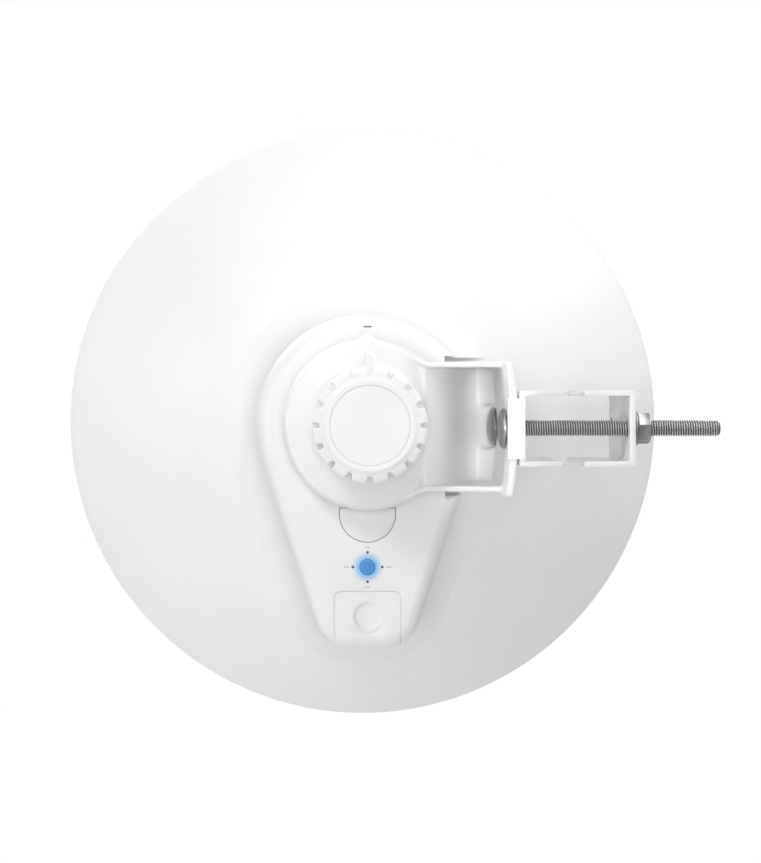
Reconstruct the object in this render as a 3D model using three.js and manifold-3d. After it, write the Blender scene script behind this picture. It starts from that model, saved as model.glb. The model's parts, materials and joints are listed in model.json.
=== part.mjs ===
// Outdoor wireless bridge: a round dish radio held on a mast by a ball-joint arm and a two-bolt clamp.
// Units are millimetres. +Z is up, +Y is the direction that the dish faces, and the origin lies on
// the mast's axis at the middle height of the clamp.
import * as THREE from 'three';
import { mergeVertices } from 'three/addons/utils/BufferGeometryUtils.js';
import Module from 'manifold-3d';

const wasm = await Module();
wasm.setup();

// ---- driving dimensions ----
const GAP = 0.3;                                  // clearance kept between touching pieces
const DISH = { x: -127, z: 2, radius: 206.5 };    // dish axis and rim radius
const BOWL = { depthStart: 55, curve: 0.00223, wall: 2.5, hole: 44 };
const RIM_Y = 152;                                // plane of the rim
const RADOME_APEX_Y = 182;
const BALL_Y = 22;                                // centre of the ball joint on the dish axis
const HUB = { radius: 52.5, wall: 4 };            // ball hub on the dish
const LINER = { inner: 53, outer: 54, edge: 46.5 }; // friction liner over the hub
const CUP = { inner: 54.5, outer: 58.5, rim: 53.5, flatFrom: 38, slope: 0.325 };
const TILT_HOLE = 13.5;                           // hole in cup and liner that lets the stud swing
const STUD = { radius: 4, tip: -57 };
const WASHER = { under: 58.8, radius: 27, top: -42 };
const KNOB = { base: -42.3, skirt: -35, face: -60, radius: 35, notches: 16 };
const POD = { face: 6, wall: 2.6, upper: 71, upperZ: -0.5, corner: 25, cornerX: 9.3, cornerZ: -118 };
const POD_EDGE = 9;                               // rounding of the pod's back edge
const POD_FLARE = 20;                             // how far the pod spreads where it meets the dish
const RELIEF = { fromX: -78, toX: -17, bottomZ: -43.2, topZ: 45.2 };  // room for the arm's strap
const TAB = { halfWidth: 17.7, centreZ: -54.9, topZ: -51.2 };
const LIGHT = { z: -88.5, radius: 4.9 };
const DOOR = { halfWidth: 20.9, topZ: -104, reach: 34, corner: 5, scoopZ: -119.8, scoop: 9.5 };
const INDEX_Z = 63.8;                             // height of the printed index mark
const ARM = { top: 41, bottom: -39, plate: 3.5, wallInner: -43.6, wallOuter: -36, floorY: 45.5 };
const WALL = { near: -43, top: 41, bottom: -41.5 };
const BOLT = { y: 32.5, radius: 4.95, neck: 5, head: 12.35, headTop: -49.3, under: -43.9, end: 88 };
const NUT = { seat: 35.4, flange: 11.5, flangeThick: 2.2, flats: 17, end: 45 };
const JAW = { halfY: 43, thick: 3.2, inside: 20, hole: 5.6 };
const MAST_RADIUS = 25.4;
const MERGE = 0.02;                               // detail smaller than this is merged away
const SEG = 32;                                   // sides of a large round piece
const SMALL = 16;                                 // sides of a small round piece

// ---- helpers: closed geometry to manifold solid and back ----
function toSolid(geometry) {
  const bare = geometry.clone();
  for (const name of Object.keys(bare.attributes)) {
    if (name !== 'position') {
      bare.deleteAttribute(name);
    }
  }
  const merged = mergeVertices(bare, 1e-4);
  const vertProperties = Float32Array.from(merged.attributes.position.array);
  const triVerts = merged.index.array;
  const clean = [];
  for (let i = 0; i < triVerts.length; i += 3) {
    const [a, b, c] = [triVerts[i], triVerts[i + 1], triVerts[i + 2]];
    if (a !== b && b !== c && c !== a) {
      clean.push(a, b, c);
    }
  }
  if (signedVolume(vertProperties, clean) < 0) {
    for (let i = 0; i < clean.length; i += 3) {
      [clean[i], clean[i + 1]] = [clean[i + 1], clean[i]];
    }
  }
  const mesh = new wasm.Mesh({ numProp: 3, vertProperties, triVerts: Uint32Array.from(clean) });
  return new wasm.Manifold(mesh);
}

function signedVolume(points, triangles) {
  let sum = 0;
  const corner = (i) => new THREE.Vector3(points[3 * i], points[3 * i + 1], points[3 * i + 2]);
  for (let i = 0; i < triangles.length; i += 3) {
    const [a, b, c] = [corner(triangles[i]), corner(triangles[i + 1]), corner(triangles[i + 2])];
    sum += a.dot(b.cross(c)) / 6;
  }
  return sum;
}

function toGeometry(solid) {
  const mesh = solid.simplify(MERGE).getMesh();
  const geometry = new THREE.BufferGeometry();
  geometry.setAttribute('position', new THREE.BufferAttribute(Float32Array.from(mesh.vertProperties), 3));
  geometry.setIndex(new THREE.BufferAttribute(Uint32Array.from(mesh.triVerts), 1));
  geometry.computeVertexNormals();
  return geometry;
}

function union(...solids) {
  return solids.reduce((sum, item) => sum.add(item));
}

// Body of revolution about the Y direction through (x, z). The profile is a closed loop of (r, y).
function lathe(profile, segments = SEG, x = DISH.x, z = DISH.z) {
  const points = profile.map(([r, y]) => new THREE.Vector2(Math.max(r, 0), y));
  const closed = profile[0][0] > 0 || profile[profile.length - 1][0] > 0;
  if (closed) {
    points.push(points[0].clone());
  }
  return toSolid(new THREE.LatheGeometry(points, segments).translate(x, 0, z));
}

// Body of revolution about the X direction through (y, z). The profile is a closed loop of (r, x).
function latheX(profile, y, z, segments = SMALL) {
  const points = profile.map(([r, x]) => new THREE.Vector2(Math.max(r, 0), x));
  if (profile[0][0] > 0 || profile[profile.length - 1][0] > 0) {
    points.push(points[0].clone());
  }
  const geometry = new THREE.LatheGeometry(points, segments);
  return toSolid(geometry.rotateZ(-Math.PI / 2).translate(0, y, z));
}

function box(x0, x1, y0, y1, z0, z1) {
  const geometry = new THREE.BoxGeometry(x1 - x0, y1 - y0, z1 - z0);
  return toSolid(geometry.translate((x0 + x1) / 2, (y0 + y1) / 2, (z0 + z1) / 2));
}

function rodY(radius, y0, y1, x = DISH.x, z = DISH.z, segments = SMALL) {
  return lathe([[0, y0], [radius, y0], [radius, y1], [0, y1]], segments, x, z);
}

function rodX(radius, x0, x1, y, z, segments = SMALL) {
  return latheX([[0, x0], [radius, x0], [radius, x1], [0, x1]], y, z, segments);
}

// Outline in plan (x, y) extruded from z0 to z1.
function plan(points, z0, z1) {
  const shape = new THREE.Shape(points.map(([x, y]) => new THREE.Vector2(x, y)));
  const geometry = new THREE.ExtrudeGeometry(shape, { depth: z1 - z0, bevelEnabled: false });
  return toSolid(geometry.translate(0, 0, z0));
}

// Outline seen from behind (x, z) extruded from y0 to y1.
function slab(points, y0, y1) {
  const shape = new THREE.Shape(points.map(([x, z]) => new THREE.Vector2(x, z)));
  const geometry = new THREE.ExtrudeGeometry(shape, { depth: y1 - y0, bevelEnabled: false });
  return toSolid(geometry.rotateX(Math.PI / 2).translate(0, y1, 0));
}

function arc(cx, cy, radius, from, to, steps) {
  const points = [];
  for (let i = 0; i <= steps; i += 1) {
    const angle = THREE.MathUtils.degToRad(from + ((to - from) * i) / steps);
    points.push([cx + radius * Math.cos(angle), cy + radius * Math.sin(angle)]);
  }
  return points;
}

// Points (r, y) on a sphere about the ball centre, from radius r0 to radius r1 on the mast side.
function spherePoints(radius, r0, r1, steps) {
  const points = [];
  for (let i = 0; i <= steps; i += 1) {
    const from = Math.asin(r0 / radius);
    const angle = from + ((Math.asin(Math.min(r1 / radius, 1)) - from) * i) / steps;
    points.push([radius * Math.sin(angle), BALL_Y - radius * Math.cos(angle)]);
  }
  return points;
}

// ---- dish ----
function bowlY(r) {
  return BOWL.depthStart + BOWL.curve * r * r;
}

function bowlCurve(offset, r0, r1, steps) {
  const points = [];
  for (let i = 0; i <= steps; i += 1) {
    const r = r0 + ((r1 - r0) * i) / steps;
    points.push([r, bowlY(r) + offset * Math.sqrt(1 + (2 * BOWL.curve * r) ** 2)]);
  }
  return points;
}

function rearShell() {
  const back = bowlCurve(0, BOWL.hole, DISH.radius - 1, 8);
  const front = bowlCurve(BOWL.wall, BOWL.hole, DISH.radius - 6, 8).reverse();
  const lip = [
    [DISH.radius, RIM_Y - 1], [DISH.radius, RIM_Y + 1], [DISH.radius - 3.2, RIM_Y + 1],
    [DISH.radius - 3.2, RIM_Y - 1.5],
  ];
  return lathe([...back, ...lip, ...front]);
}

function reflector() {
  const start = BOWL.hole + 2;
  const end = DISH.radius - 12;
  const skin = BOWL.wall + GAP;
  return lathe([...bowlCurve(skin, start, end, 7), ...bowlCurve(skin + 1.2, start, end, 7).reverse()]);
}

function radome() {
  const outer = [];
  const inner = [];
  const rise = RADOME_APEX_Y - RIM_Y - 8;
  for (let i = 0; i <= 6; i += 1) {
    const part = i / 6;
    const drop = rise * part ** 3;
    outer.push([(DISH.radius - 2) * part, RADOME_APEX_Y - drop]);
    inner.unshift([(DISH.radius - 6) * part, RADOME_APEX_Y - 2.4 - drop]);
  }
  const skirt = [[DISH.radius, RIM_Y + 5], [DISH.radius, RIM_Y + 1 + GAP], [DISH.radius - 6, RIM_Y + 1 + GAP]];
  return lathe([...outer, ...skirt, ...inner]);
}

function rimSeal() {
  const r = DISH.radius - 4.9;
  return lathe(arc(r, RIM_Y - 0.1, 1.2, 0, 288, 4));
}

function feedParts() {
  const horn = lathe([[4, 62], [9, 62], [9, 104], [13, 112], [11, 112], [4, 104]], SMALL);
  const support = lathe([[11.4, 112.3], [13, 112.3], [26, 128], [24.4, 128]], 32);
  const plate = lathe([[0, 128.3], [27, 128.3], [28, 131], [14, 134], [0, 135.5]], 32);
  return { horn, support, plate };
}

// ---- pod: the teardrop housing behind the dish ----
function podNormals() {
  const dx = POD.cornerX;
  const dz = POD.cornerZ - POD.upperZ;
  const reach = Math.hypot(dx, dz);
  const lean = Math.acos((POD.upper - POD.corner) / reach) + Math.atan2(dz, dx);
  return THREE.MathUtils.radToDeg(lean);
}

// One closed outline of the pod, relative to the dish axis, grown outwards by offset.
function podOutline(offset) {
  const lean = podNormals();
  const upper = arc(0, POD.upperZ, POD.upper + offset, lean, 180 - lean, 16);
  const left = arc(-POD.cornerX, POD.cornerZ, POD.corner + offset, 180 - lean, 270, 5);
  const right = arc(POD.cornerX, POD.cornerZ, POD.corner + offset, 270, 360 + lean, 5);
  return [...upper, ...left, ...right];
}

// Rings of the pod's outer surface, moved inwards by inset to give the inner surface.
function podRings(inset) {
  const rings = [];
  for (let i = 0; i <= 3; i += 1) {
    const turn = (i * Math.PI) / 6;
    const offset = -POD_EDGE + (POD_EDGE - inset) * Math.sin(turn);
    const y = POD.face + inset + (POD_EDGE - inset) * (1 - Math.cos(turn));
    rings.push(podOutline(offset).map(([x, z]) => [x, y, z]));
  }
  const shoulderY = POD.face + POD_EDGE;
  for (let i = 1; i <= 4; i += 1) {
    const part = i / 4;
    const offset = POD_FLARE * part ** 4 - inset;
    const foot = podOutline(POD_FLARE);
    rings.push(podOutline(offset).map(([x, z], k) => {
      const base = bowlY(Math.hypot(foot[k][0], foot[k][1]));
      return [x, shoulderY + (base - shoulderY) * part, z];
    }));
  }
  const last = rings[rings.length - 1];
  rings.push(last.map(([x, , z]) => [x, RIM_Y + 10, z]));
  return rings;
}

function loft(rings) {
  const count = rings[0].length;
  const positions = [];
  for (const ring of rings) {
    for (const [x, y, z] of ring) {
      positions.push(x + DISH.x, y, z + DISH.z);
    }
  }
  const index = [];
  for (let j = 0; j + 1 < rings.length; j += 1) {
    for (let k = 0; k < count; k += 1) {
      const a = j * count + k;
      const b = j * count + ((k + 1) % count);
      index.push(a, b, b + count, a, b + count, a + count);
    }
  }
  const ends = [[0, false], [rings.length - 1, true]];
  for (const [j, flip] of ends) {
    const centre = positions.length / 3;
    positions.push(DISH.x, rings[j][0][1], DISH.z - 30);
    for (let k = 0; k < count; k += 1) {
      const a = j * count + k;
      const b = j * count + ((k + 1) % count);
      index.push(...(flip ? [a, b, centre] : [b, a, centre]));
    }
  }
  const geometry = new THREE.BufferGeometry();
  geometry.setAttribute('position', new THREE.BufferAttribute(Float32Array.from(positions), 3));
  geometry.setIndex(index);
  return toSolid(geometry);
}

// Room that the arm needs beside the hub, and everything in front of the dish's back surface.
function armRelief(grow) {
  return box(RELIEF.fromX - grow, RELIEF.toX, -60, 90 + grow, RELIEF.bottomZ - grow, RELIEF.topZ + grow);
}

function beyondDish() {
  const back = bowlCurve(-GAP, 0.01, DISH.radius + 20, 10);
  back[0][0] = 0;
  return lathe([...back, [DISH.radius + 20, 260], [0, 260]]);
}

function hubEnvelope(radius) {
  const ball = spherePoints(radius, 0.01, radius, 6);
  ball[0][0] = 0;
  return lathe([...ball, [radius, 80], [0, 80]]);
}

function tabOutline(grow) {
  const r = TAB.halfWidth + grow;
  const lower = arc(DISH.x, TAB.centreZ, r, 180, 360, 14);
  return [...lower, [DISH.x + r, TAB.topZ + grow], [DISH.x - r, TAB.topZ + grow]];
}

function doorOutline(grow, bottomZ) {
  const w = DOOR.halfWidth + grow;
  const top = DOOR.topZ + grow;
  const c = DOOR.corner;
  const right = arc(DISH.x + w - c, top - c, c, 0, 90, 4);
  const left = arc(DISH.x - w + c, top - c, c, 90, 180, 4);
  return [[DISH.x - w, bottomZ], [DISH.x + w, bottomZ], ...right, ...left];
}

function indexBar(grow, y0, y1) {
  const halfWidth = 2.5 + grow;
  const halfHeight = 0.55 + grow;
  return box(DISH.x - halfWidth, DISH.x + halfWidth, y0, y1, INDEX_Z - halfHeight, INDEX_Z + halfHeight);
}

function podHousing(outer, inner) {
  const shell = outer.subtract(armRelief(0)).subtract(inner.subtract(armRelief(POD.wall)));
  return shell
    .subtract(hubEnvelope(HUB.radius + GAP))
    .subtract(beyondDish())
    .subtract(slab(tabOutline(GAP), -5, 12))
    .subtract(rodY(LIGHT.radius + GAP, -5, 20, DISH.x, LIGHT.z))
    .subtract(indexBar(GAP, POD.face - 2, POD.face + 0.8))
    .subtract(slab(doorOutline(GAP, -170), -5, POD.face + DOOR.reach + GAP));
}

function portDoor(outer, inner) {
  const top = POD.face - 1;
  const floor = POD.face + 1.2;
  const scoopSide = [[0, top], [DOOR.scoop, top], [DOOR.scoop - 1, floor], [0, floor]];
  const scoop = lathe(scoopSide, SEG, DISH.x, DOOR.scoopZ);
  return outer.subtract(inner).intersect(slab(doorOutline(0, -170), -5, POD.face + DOOR.reach)).subtract(scoop);
}

function doorGasket() {
  const ring = (grow) => {
    const w = DOOR.halfWidth - 2 + grow;
    const low = -129 - grow;
    const high = DOOR.topZ - 4 + grow;
    return [[DISH.x - w, low], [DISH.x + w, low], [DISH.x + w, high], [DISH.x - w, high]];
  };
  const y = POD.face + POD.wall + GAP;
  return slab(ring(0), y, y + 2).subtract(slab(ring(-2.2), y - 1, y + 3));
}

function releaseTab() {
  const plate = slab(tabOutline(0), POD.face, POD.face + POD.wall);
  const rib = box(DISH.x - 4, DISH.x + 4, POD.face + POD.wall - 0.5, POD.face + 12, -66, -60);
  return plate.add(rib).subtract(hubEnvelope(HUB.radius + GAP));
}

// ---- electronics in the pod ----
function electronics() {
  const boardY = 30;
  const plateZ = [-128, -56];
  const spreader = box(DISH.x - 24, DISH.x + 24, boardY + 8, boardY + 11, plateZ[0], plateZ[1]);
  const board = box(DISH.x - 25, DISH.x + 25, boardY, boardY + 1.6, -126, plateZ[1] - 1);
  const shield = box(DISH.x - 18, DISH.x + 18, boardY + 1.9, boardY + 7.7, -98, -60);
  const antenna = box(DISH.x - 10, DISH.x + 10, boardY - 5.3, boardY - GAP, -84, -64);
  const jackShell = box(DISH.x - 13, DISH.x + 4, boardY - 14.3, boardY - GAP, -126, -106);
  const jack = jackShell.subtract(box(DISH.x - 10.4, DISH.x + 1.4, boardY - 12.3, boardY - 3, -127, -109));
  const button = rodZ(1.6, -128, -121, DISH.x + 13, boardY - 3);
  const buttonBody = box(DISH.x + 9.5, DISH.x + 16.5, boardY - 6.3, boardY - GAP, -120.7, -113)
    .subtract(rodZ(1.8, -121, -116, DISH.x + 13, boardY - 3));
  return { spreader, board, shield, antenna, jack, button, buttonBody };
}

function rodZ(radius, z0, z1, x, y) {
  return plan(arc(x, y, radius, 0, 345, 23), z0, z1);
}

function lightPipe() {
  const head = rodY(LIGHT.radius, POD.face + 0.2, POD.face + 4, DISH.x, LIGHT.z);
  return head.add(rodY(2.5, POD.face + 3, 29.5, DISH.x, LIGHT.z, 12));
}

// ---- ball joint ----
function pivotHub() {
  const outer = hubEnvelope(HUB.radius).subtract(beyondDish());
  const r = HUB.radius - HUB.wall;
  const ball = spherePoints(r, 0.01, r, 5);
  ball[0][0] = 0;
  return outer.subtract(lathe([...ball, [r, 90], [0, 90]])).subtract(rodY(STUD.radius + 0.3, -40, 0));
}

function frictionLiner() {
  const outer = spherePoints(LINER.outer, TILT_HOLE, LINER.edge, 5);
  const inner = spherePoints(LINER.inner, TILT_HOLE, LINER.edge, 5).reverse();
  return lathe([...outer, ...inner]);
}

function cupBlank() {
  const outer = spherePoints(CUP.outer, TILT_HOLE, CUP.flatFrom, 4);
  const [, flatY] = outer[outer.length - 1];
  const lipStart = CUP.rim - 4.5;
  const lipY = flatY + (lipStart - CUP.flatFrom) * CUP.slope;
  const lip = [[lipStart, lipY], [CUP.rim - 2, lipY + 1.6], [CUP.rim - 0.4, lipY + 4], [CUP.rim, lipY + 7.5]];
  const innerEdge = 49;
  const inner = spherePoints(CUP.inner, TILT_HOLE, innerEdge, 5).reverse();
  return lathe([...outer, ...lip, [CUP.rim, -3], [innerEdge + 1, -3], ...inner]);
}

function pressureWasher() {
  const under = spherePoints(WASHER.under, STUD.radius + 0.5, WASHER.radius, 4);
  return lathe([...under, [WASHER.radius, WASHER.top], [STUD.radius + 0.5, WASHER.top]], 32);
}

function clampStud() {
  const innerApex = BALL_Y - HUB.radius + HUB.wall;
  const stud = rodY(STUD.radius, STUD.tip, innerApex + 3);
  const plate = rodY(13, innerApex + 2.6, innerApex + 8, DISH.x, DISH.z, 6);
  return stud.add(plate);
}

function clampKnob() {
  const body = lathe([
    [6.3, KNOB.base], [WASHER.radius + 2, KNOB.base], [WASHER.radius + 2, KNOB.skirt],
    [KNOB.radius, KNOB.skirt], [KNOB.radius, KNOB.face + 6], [KNOB.radius - 2, KNOB.face + 3],
    [29, KNOB.face + 0.8], [26, KNOB.face], [24.4, KNOB.face], [24.4, KNOB.face + 3], [6.3, KNOB.face + 3],
  ]);
  let knob = body;
  for (let i = 0; i < KNOB.notches; i += 1) {
    const angle = THREE.MathUtils.degToRad(((i + 0.5) * 360) / KNOB.notches);
    const x = DISH.x + (KNOB.radius + 0.6) * Math.cos(angle);
    const z = DISH.z + (KNOB.radius + 0.6) * Math.sin(angle);
    knob = knob.subtract(rodY(3, KNOB.face - 2, KNOB.skirt - 1.5, x, z, 10));
  }
  return knob;
}

// ---- arm ----
// Front surface of the strap in plan, from the cup to the wall: an S that drops behind the far bolt.
function strapPath(shift) {
  const curve = new THREE.CatmullRomCurve3([
    new THREE.Vector3(-84, -19, 0), new THREE.Vector3(-76.5, -9, 0), new THREE.Vector3(-70.5, 5, 0),
    new THREE.Vector3(-66.5, 20, 0), new THREE.Vector3(-62, 34, 0), new THREE.Vector3(-55, 43, 0),
    new THREE.Vector3(-47, ARM.floorY, 0), new THREE.Vector3(ARM.wallInner + 1.6, ARM.floorY, 0),
  ]);
  const points = [];
  for (let i = 0; i <= 12; i += 1) {
    const p = curve.getPoint(i / 12);
    const t = curve.getTangent(i / 12);
    points.push([p.x - t.y * shift, p.y + t.x * shift]);
  }
  return points;
}

// Outline of the arm seen from behind: it narrows from the cup's ring to the strap in an S.
function armOutline(inset) {
  const from = DISH.x + 10;
  const to = -89;
  const edge = (sign, limit) => {
    const ring = DISH.z + sign * (CUP.rim - 1.5);
    const points = [];
    for (let i = 0; i <= 4; i += 1) {
      const part = i / 4;
      const blend = part * part * (3 - 2 * part);
      points.push([from + (to - from) * part, ring + (limit - ring) * blend - sign * inset]);
    }
    return points;
  };
  const top = [...edge(1, ARM.top), [ARM.wallInner + 1, ARM.top - inset]];
  const bottom = [...edge(-1, ARM.bottom), [ARM.wallInner + 1, ARM.bottom + inset]];
  return [...top, ...bottom.reverse()];
}

function armWall() {
  const x0 = ARM.wallInner;
  const x1 = ARM.wallOuter;
  const y0 = WALL.near;
  const far = ARM.floorY + ARM.plate;
  const outline = [
    [x0, ARM.floorY - 1], [x0, y0 + 2], [x0 + 2, y0], [x1 - 0.6, y0], [x1, y0 + 0.6],
    [x1, far - 3], [x1 - 3, far], [x0 - 3, far],
  ];
  return plan(outline, WALL.bottom, WALL.top);
}

function arm() {
  const front = strapPath(0);
  const back = strapPath(ARM.plate).reverse();
  const start = [-86, -21.5];
  const strap = plan([start, ...front, ...back, [-90, -16]], -70, 70).intersect(slab(armOutline(0), -60, 60));
  const mouth = [
    [ARM.wallInner + 1, -36], [-60, -35], [-74, -31], [-88, -25], [-103, -20], [-103, -14], [-90, -14],
  ];
  const floorEnd = [ARM.wallInner + 1.2, ARM.floorY + ARM.plate / 2];
  const filled = plan([...strapPath(ARM.plate / 2).slice(0, -1), floorEnd, ...mouth], -70, 70);
  const rims = slab(armOutline(0), -60, 60).subtract(slab(armOutline(ARM.plate), -61, 61));
  const lips = filled.intersect(rims);
  const pointer = slab([[DISH.x - 3, 50], [DISH.x + 3, 50], [DISH.x, 57.5]], -16, -6);
  const ribSide = [[DISH.x - 2.2, 37], [DISH.x + 2.2, 37], [DISH.x + 0.8, 47], [DISH.x - 0.8, 47]];
  const rib = slab(ribSide, -24.5, -18);
  let body = union(cupBlank(), strap, armWall(), lips, pointer, rib).subtract(hubEnvelope(CUP.inner));
  const half = BOLT.neck + 0.4;
  for (const y of [-BOLT.y, BOLT.y]) {
    body = body.subtract(box(ARM.wallInner - 1, ARM.wallOuter + 1, y - half, y + half, -half, half));
  }
  return body;
}

// ---- mast clamp ----
// Plan of a jaw flange between two x values, with a V for the mast that opens towards the tip.
function jawFlange(webX, tipX, z0, z1) {
  const side = Math.sign(tipX - webX);
  const touch = MAST_RADIUS / Math.SQRT2;
  const mouth = touch + Math.abs(touch - Math.abs(tipX) * Math.sign(-tipX * side));
  const rootX = -side * (MAST_RADIUS + 2.5);
  const root = Math.max(2 * touch - Math.abs(rootX), 6);
  const outline = [
    [webX, -JAW.halfY], [tipX - side * 3, -JAW.halfY], [tipX, -JAW.halfY + 3], [tipX, -mouth], [rootX, -root],
    [rootX, root], [tipX, mouth], [tipX, JAW.halfY - 3], [tipX - side * 3, JAW.halfY], [webX, JAW.halfY],
  ];
  return plan(side > 0 ? outline : outline.reverse(), z0, z1);
}

function jaw(webOuterX, webInnerX, tipX) {
  const outer = JAW.inside + JAW.thick;
  const webX = [Math.min(webOuterX, webInnerX), Math.max(webOuterX, webInnerX)];
  const web = box(...webX, -JAW.halfY, JAW.halfY, -outer, outer);
  let body = union(
    web,
    jawFlange(webOuterX, tipX, JAW.inside, outer),
    jawFlange(webOuterX, tipX, -outer, -JAW.inside),
  );
  for (const y of [-BOLT.y, BOLT.y]) {
    body = body.subtract(rodX(JAW.hole, webOuterX - 5, webOuterX + 5, y, 0));
  }
  return body;
}

function fixedJaw() {
  const outerX = ARM.wallOuter + GAP;
  const lip = box(ARM.wallInner + 0.4, outerX + JAW.thick, WALL.near - 3.5, WALL.near - GAP, -18.5, 18.5)
    .add(box(outerX, outerX + JAW.thick, WALL.near - 3.5, WALL.near + 1, -18.5, 18.5));
  return jaw(outerX, outerX + JAW.thick, -7.2).add(lip);
}

function movingJaw() {
  return jaw(NUT.seat - GAP, NUT.seat - GAP - 3.7, 3.8);
}

function carriageBolt(y) {
  const rimX = BOLT.under - 0.8;
  const dome = [];
  for (let i = 0; i <= 5; i += 1) {
    const angle = (i * Math.PI) / 10;
    dome.push([BOLT.head * Math.sin(angle), rimX - (rimX - BOLT.headTop) * Math.cos(angle)]);
  }
  const body = latheX([
    ...dome, [BOLT.head, BOLT.under], [BOLT.radius, BOLT.under], [BOLT.radius, BOLT.end - 1.5],
    [BOLT.radius - 1.3, BOLT.end], [0, BOLT.end],
  ], y, 0);
  const neck = box(BOLT.under - 0.2, BOLT.under + 6, y - BOLT.neck, y + BOLT.neck, -BOLT.neck, BOLT.neck);
  return body.add(neck);
}

function flangeNut(y) {
  const bore = BOLT.radius + 0.2;
  const flange = latheX([
    [bore, NUT.seat], [NUT.flange, NUT.seat], [NUT.flange, NUT.seat + 1],
    [9, NUT.seat + 3], [bore, NUT.seat + 3],
  ], y, 0);
  const corner = NUT.flats / Math.sqrt(3);
  const hex = new THREE.CylinderGeometry(corner, corner, NUT.end - NUT.seat - 1, 6);
  const hexSolid = toSolid(hex.rotateY(THREE.MathUtils.degToRad(15)).rotateZ(-Math.PI / 2)
    .translate((NUT.seat + 1 + NUT.end) / 2, y, 0));
  return flange.add(hexSolid).subtract(rodX(bore, NUT.seat - 1, NUT.end + 1, y, 0));
}

// ---- assembly ----
const WHITE = [0xf4f4f3, 0.45, 0];
const STEEL = [0x8d8f90, 0.4, 1];
const group = new THREE.Group();

function place(name, solid, [color, roughness, metalness]) {
  const material = new THREE.MeshStandardMaterial({ color, roughness, metalness });
  const mesh = new THREE.Mesh(toGeometry(solid), material);
  mesh.name = name;
  group.add(mesh);
}

const podOuter = loft(podRings(0));
const podInner = loft(podRings(POD.wall));
const feed = feedParts();
const inside = electronics();

place('rear_shell', rearShell(), WHITE);
place('reflector', reflector(), [0xb9bcc0, 0.35, 1]);
place('radome', radome(), WHITE);
place('rim_seal', rimSeal(), [0x2b2b2c, 0.8, 0]);
place('feed_horn', feed.horn, [0xb9bcc0, 0.35, 1]);
place('feed_support', feed.support, [0xe8e6df, 0.5, 0]);
place('sub_reflector', feed.plate, [0xb9bcc0, 0.3, 1]);
place('pod_housing', podHousing(podOuter, podInner), WHITE);
place('pivot_hub', pivotHub(), WHITE);
place('port_door', portDoor(podOuter, podInner), WHITE);
place('door_gasket', doorGasket(), [0x2b2b2c, 0.8, 0]);
place('release_tab', releaseTab(), WHITE);
place('light_pipe', lightPipe(), [0x4791d1, 0.3, 0]);
place('index_mark', indexBar(0, POD.face + 0.05, POD.face + 0.5), [0x7a7d80, 0.6, 0]);
place('heat_spreader', inside.spreader, [0xa9adb0, 0.45, 1]);
place('main_board', inside.board, [0x1f5a38, 0.6, 0]);
place('radio_shield', inside.shield, [0xc4c6c8, 0.35, 1]);
place('position_antenna', inside.antenna, [0xb8a27c, 0.6, 0]);
place('network_jack', inside.jack, [0xaeb0b2, 0.35, 1]);
place('reset_switch', inside.buttonBody, [0x2b2b2c, 0.7, 0]);
place('reset_button', inside.button, [0xd9d9d6, 0.5, 0]);
place('clamp_stud', clampStud(), STEEL);
place('friction_liner', frictionLiner(), [0x5c6064, 0.7, 0]);
place('pressure_washer', pressureWasher(), [0xe9e9e8, 0.5, 0]);
place('clamp_knob', clampKnob(), WHITE);
place('knob_cap', rodY(24.1, KNOB.face + 0.1, KNOB.face + 2.6, DISH.x, DISH.z, 32), WHITE);
place('knob_insert', lathe([[STUD.radius + 0.2, KNOB.base + 0.2], [6, KNOB.base + 0.2],
  [6, KNOB.face + 3.2], [STUD.radius + 0.2, KNOB.face + 3.2]], SMALL), [0xb08d3e, 0.35, 1]);
place('arm', arm(), WHITE);
place('fixed_jaw', fixedJaw(), WHITE);
place('moving_jaw', movingJaw(), WHITE);
for (const [side, y] of [['near', -BOLT.y], ['far', BOLT.y]]) {
  place(`carriage_bolt_${side}`, carriageBolt(y), STEEL);
  place(`flange_nut_${side}`, flangeNut(y), STEEL);
}

export default group;
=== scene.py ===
"""Looks of the outdoor wireless bridge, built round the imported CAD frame.

Sizes are in millimetres. Lights and the camera are placed in metres.
X runs to the right, Y from the camera to the dish's front, and Z up, with the mast's axis at the origin.
"""
import json
import math

import bmesh
import bpy
import numpy as np
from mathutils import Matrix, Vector


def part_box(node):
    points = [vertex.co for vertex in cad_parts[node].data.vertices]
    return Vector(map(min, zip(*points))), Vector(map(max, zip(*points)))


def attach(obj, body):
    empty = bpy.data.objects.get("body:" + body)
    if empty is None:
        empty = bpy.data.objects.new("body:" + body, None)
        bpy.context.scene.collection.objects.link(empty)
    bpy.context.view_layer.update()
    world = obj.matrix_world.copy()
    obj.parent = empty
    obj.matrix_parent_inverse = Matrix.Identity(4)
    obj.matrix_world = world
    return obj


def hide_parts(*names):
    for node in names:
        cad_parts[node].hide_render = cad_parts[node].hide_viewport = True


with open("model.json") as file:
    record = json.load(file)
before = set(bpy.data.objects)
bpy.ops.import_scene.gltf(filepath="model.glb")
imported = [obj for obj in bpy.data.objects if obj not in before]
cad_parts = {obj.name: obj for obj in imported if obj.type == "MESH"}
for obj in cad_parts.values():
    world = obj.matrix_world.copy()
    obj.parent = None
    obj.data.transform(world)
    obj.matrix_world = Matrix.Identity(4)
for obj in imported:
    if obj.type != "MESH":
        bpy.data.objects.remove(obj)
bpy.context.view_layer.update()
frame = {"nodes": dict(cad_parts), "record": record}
MM = 0.001


def corners(node):
    """Lower and upper corner of a CAD node's box."""
    low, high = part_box(node)
    return [v / MM for v in low], [v / MM for v in high]


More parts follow.
